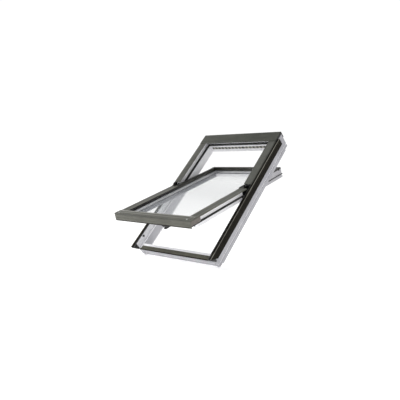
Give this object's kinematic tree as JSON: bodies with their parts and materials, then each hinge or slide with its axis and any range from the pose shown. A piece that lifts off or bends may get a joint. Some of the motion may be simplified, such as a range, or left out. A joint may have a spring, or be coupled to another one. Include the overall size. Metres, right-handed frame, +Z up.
{
  "type": "roof skylight",
  "caption": "Centre-pivot roof window: white frame with outside sheet claddings, double-glazed sash standing open, ventilated head, lever handle and cleaning bolt.",
  "frame": {"origin": "middle of the sill's outer face, at half the depth of the white profile", "axes": "+Z up as installed, +X across the window to its right seen from outside, the roof's slope rises towards +Y at 45 degrees"},
  "size_m": [0.8044, 1.1488, 0.958],
  "materials": {
    "white_profile": "smooth white, semi gloss",
    "clad_grey": "satin umber grey coil coating",
    "clad_dark": "satin dark brown coil coating",
    "rubber_black": "matt",
    "plastic_black": "fine grain",
    "plastic_taupe": "fine grain",
    "clear_glass": "clear",
    "plastic_grey": "fine grain",
    "spacer_metal": "satin",
    "steel_dark": "black passivated",
    "steel_bright": "zinc plated"
  },
  "bodies": {
    "frame": {"frame_stile_left": "white_profile", "frame_stile_right": "white_profile", "frame_head": "white_profile", "frame_sill": "white_profile", "frame_seal": "rubber_black", "frame_gasket_left": "rubber_black", "frame_gasket_right": "rubber_black", "side_cladding_left": "clad_dark", "side_cladding_right": "clad_dark", "upper_cover_left": "clad_grey", "upper_cover_right": "clad_grey", "hood": "clad_grey", "hood_strip": "rubber_black", "sill_cladding": "clad_grey", "end_cap_left": "plastic_black", "end_cap_right": "plastic_black", "vent_grille": "plastic_grey", "hinge_frame_left": "steel_dark", "hinge_frame_right": "steel_dark", "hinge_frame_screws": "steel_bright", "latch_keeper": "steel_bright", "bolt_bush": "plastic_black"},
    "sash": {"sash_stile_left": "white_profile", "sash_stile_right": "white_profile", "sash_rail_top": "white_profile", "sash_rail_bottom": "white_profile", "pane_outer": "clear_glass", "pane_inner": "clear_glass", "spacer_bar": "spacer_metal", "glazing_gasket": "rubber_black", "sash_seal": "rubber_black", "sash_cladding_left": "clad_grey", "sash_cladding_right": "clad_grey", "sash_cladding_bottom": "clad_grey", "glazing_bead_left": "clad_dark", "glazing_bead_right": "clad_dark", "glazing_bead_top": "clad_dark", "corner_cover_left": "plastic_taupe", "corner_cover_right": "plastic_taupe", "hinge_sash_left": "steel_dark", "hinge_sash_right": "steel_dark", "hinge_sash_screws": "steel_bright", "cladding_screws": "steel_bright", "lock_case": "steel_bright", "handle_base": "clad_dark", "bolt_barrel": "steel_bright"},
    "vent": {"vent_shutter": "plastic_black"},
    "latch": {"latch_bolt": "steel_bright"},
    "handle": {"handle_lever": "clad_dark"},
    "cleaning_bolt": {"barrel_bolt": "steel_bright"}
  },
  "joints": [
    {"name": "sash_pivot", "type": "hinge", "parent": "frame", "child": "sash", "pos_m": [0, 0.35638, 0.51053], "axis": [-1, 0, 0], "range_deg": [-28.1, 144.4]},
    {"name": "vent_slide", "type": "slide", "parent": "frame", "child": "vent", "axis": [1, 0, 0], "range_m": [0, 0.018]},
    {"name": "handle_turn", "type": "hinge", "parent": "sash", "child": "handle", "pos_m": [0, -0.12282, 0.2646], "axis": [0, 0.2907, -0.9568], "range_deg": [0, 90]},
    {"name": "latch_slide", "type": "slide", "parent": "sash", "child": "latch", "axis": [0, -0.9568, -0.2907], "range_m": [0, 0.016]},
    {"name": "bolt_slide", "type": "slide", "parent": "sash", "child": "cleaning_bolt", "axis": [-1, 0, 0], "range_m": [0, 0.02]}
  ],
  "couplings": [
    {"joint": "latch_slide", "follows": "handle_turn", "m_per_rad": 0.010186}
  ]
}
